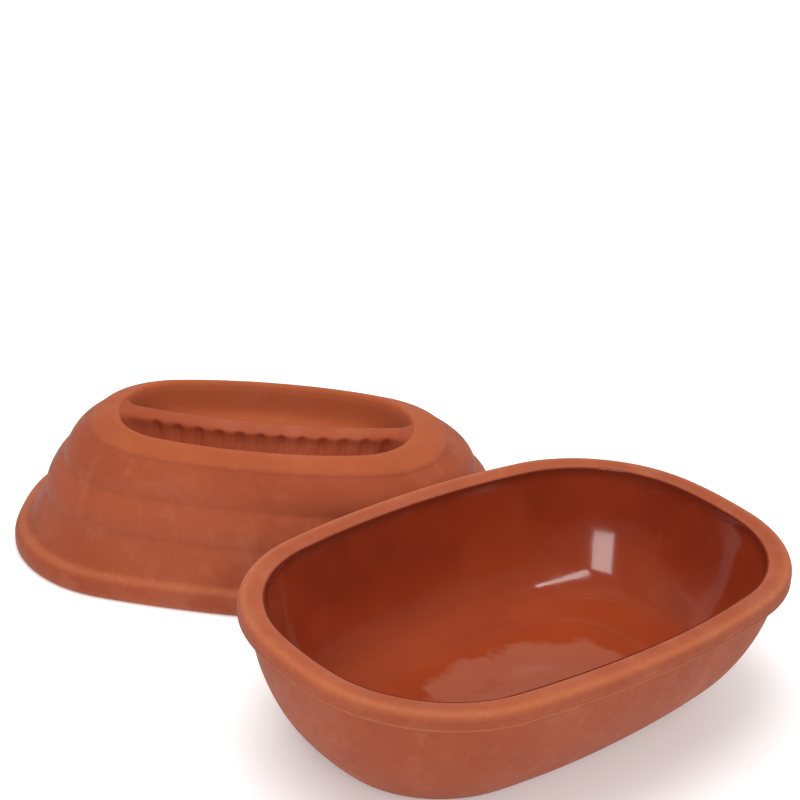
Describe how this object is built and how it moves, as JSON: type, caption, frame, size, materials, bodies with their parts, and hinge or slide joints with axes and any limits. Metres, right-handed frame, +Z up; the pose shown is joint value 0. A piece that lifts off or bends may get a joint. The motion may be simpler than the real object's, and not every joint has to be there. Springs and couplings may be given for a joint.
{
  "type": "covered casserole dish",
  "caption": "Oval terracotta clay baker with a glazed inside, its loose stepped lid standing on its rim beside the open dish.",
  "frame": {"origin": "centre of the dish's flat foot, on the table both pieces stand on", "axes": "+X runs along the lid's grip bar, which is the lid's long axis; +Z up; -Y is the front. The dish's long axis lies 43.8 degrees from +X towards +Y."},
  "size_m": [0.5241, 0.4618, 0.096],
  "materials": {
    "terracotta": "matte unglazed clay",
    "glaze": "glossy"
  },
  "bodies": {
    "dish": {"dish": "terracotta", "glaze_lining": "glaze"},
    "lid": {"lid": "terracotta"}
  },
  "joints": [
    {"name": "lid_lift", "type": "slide", "parent": "dish", "child": "lid", "axis": [-0.325, 0.339, 0.8829], "range_m": [0, 0.25]}
  ]
}
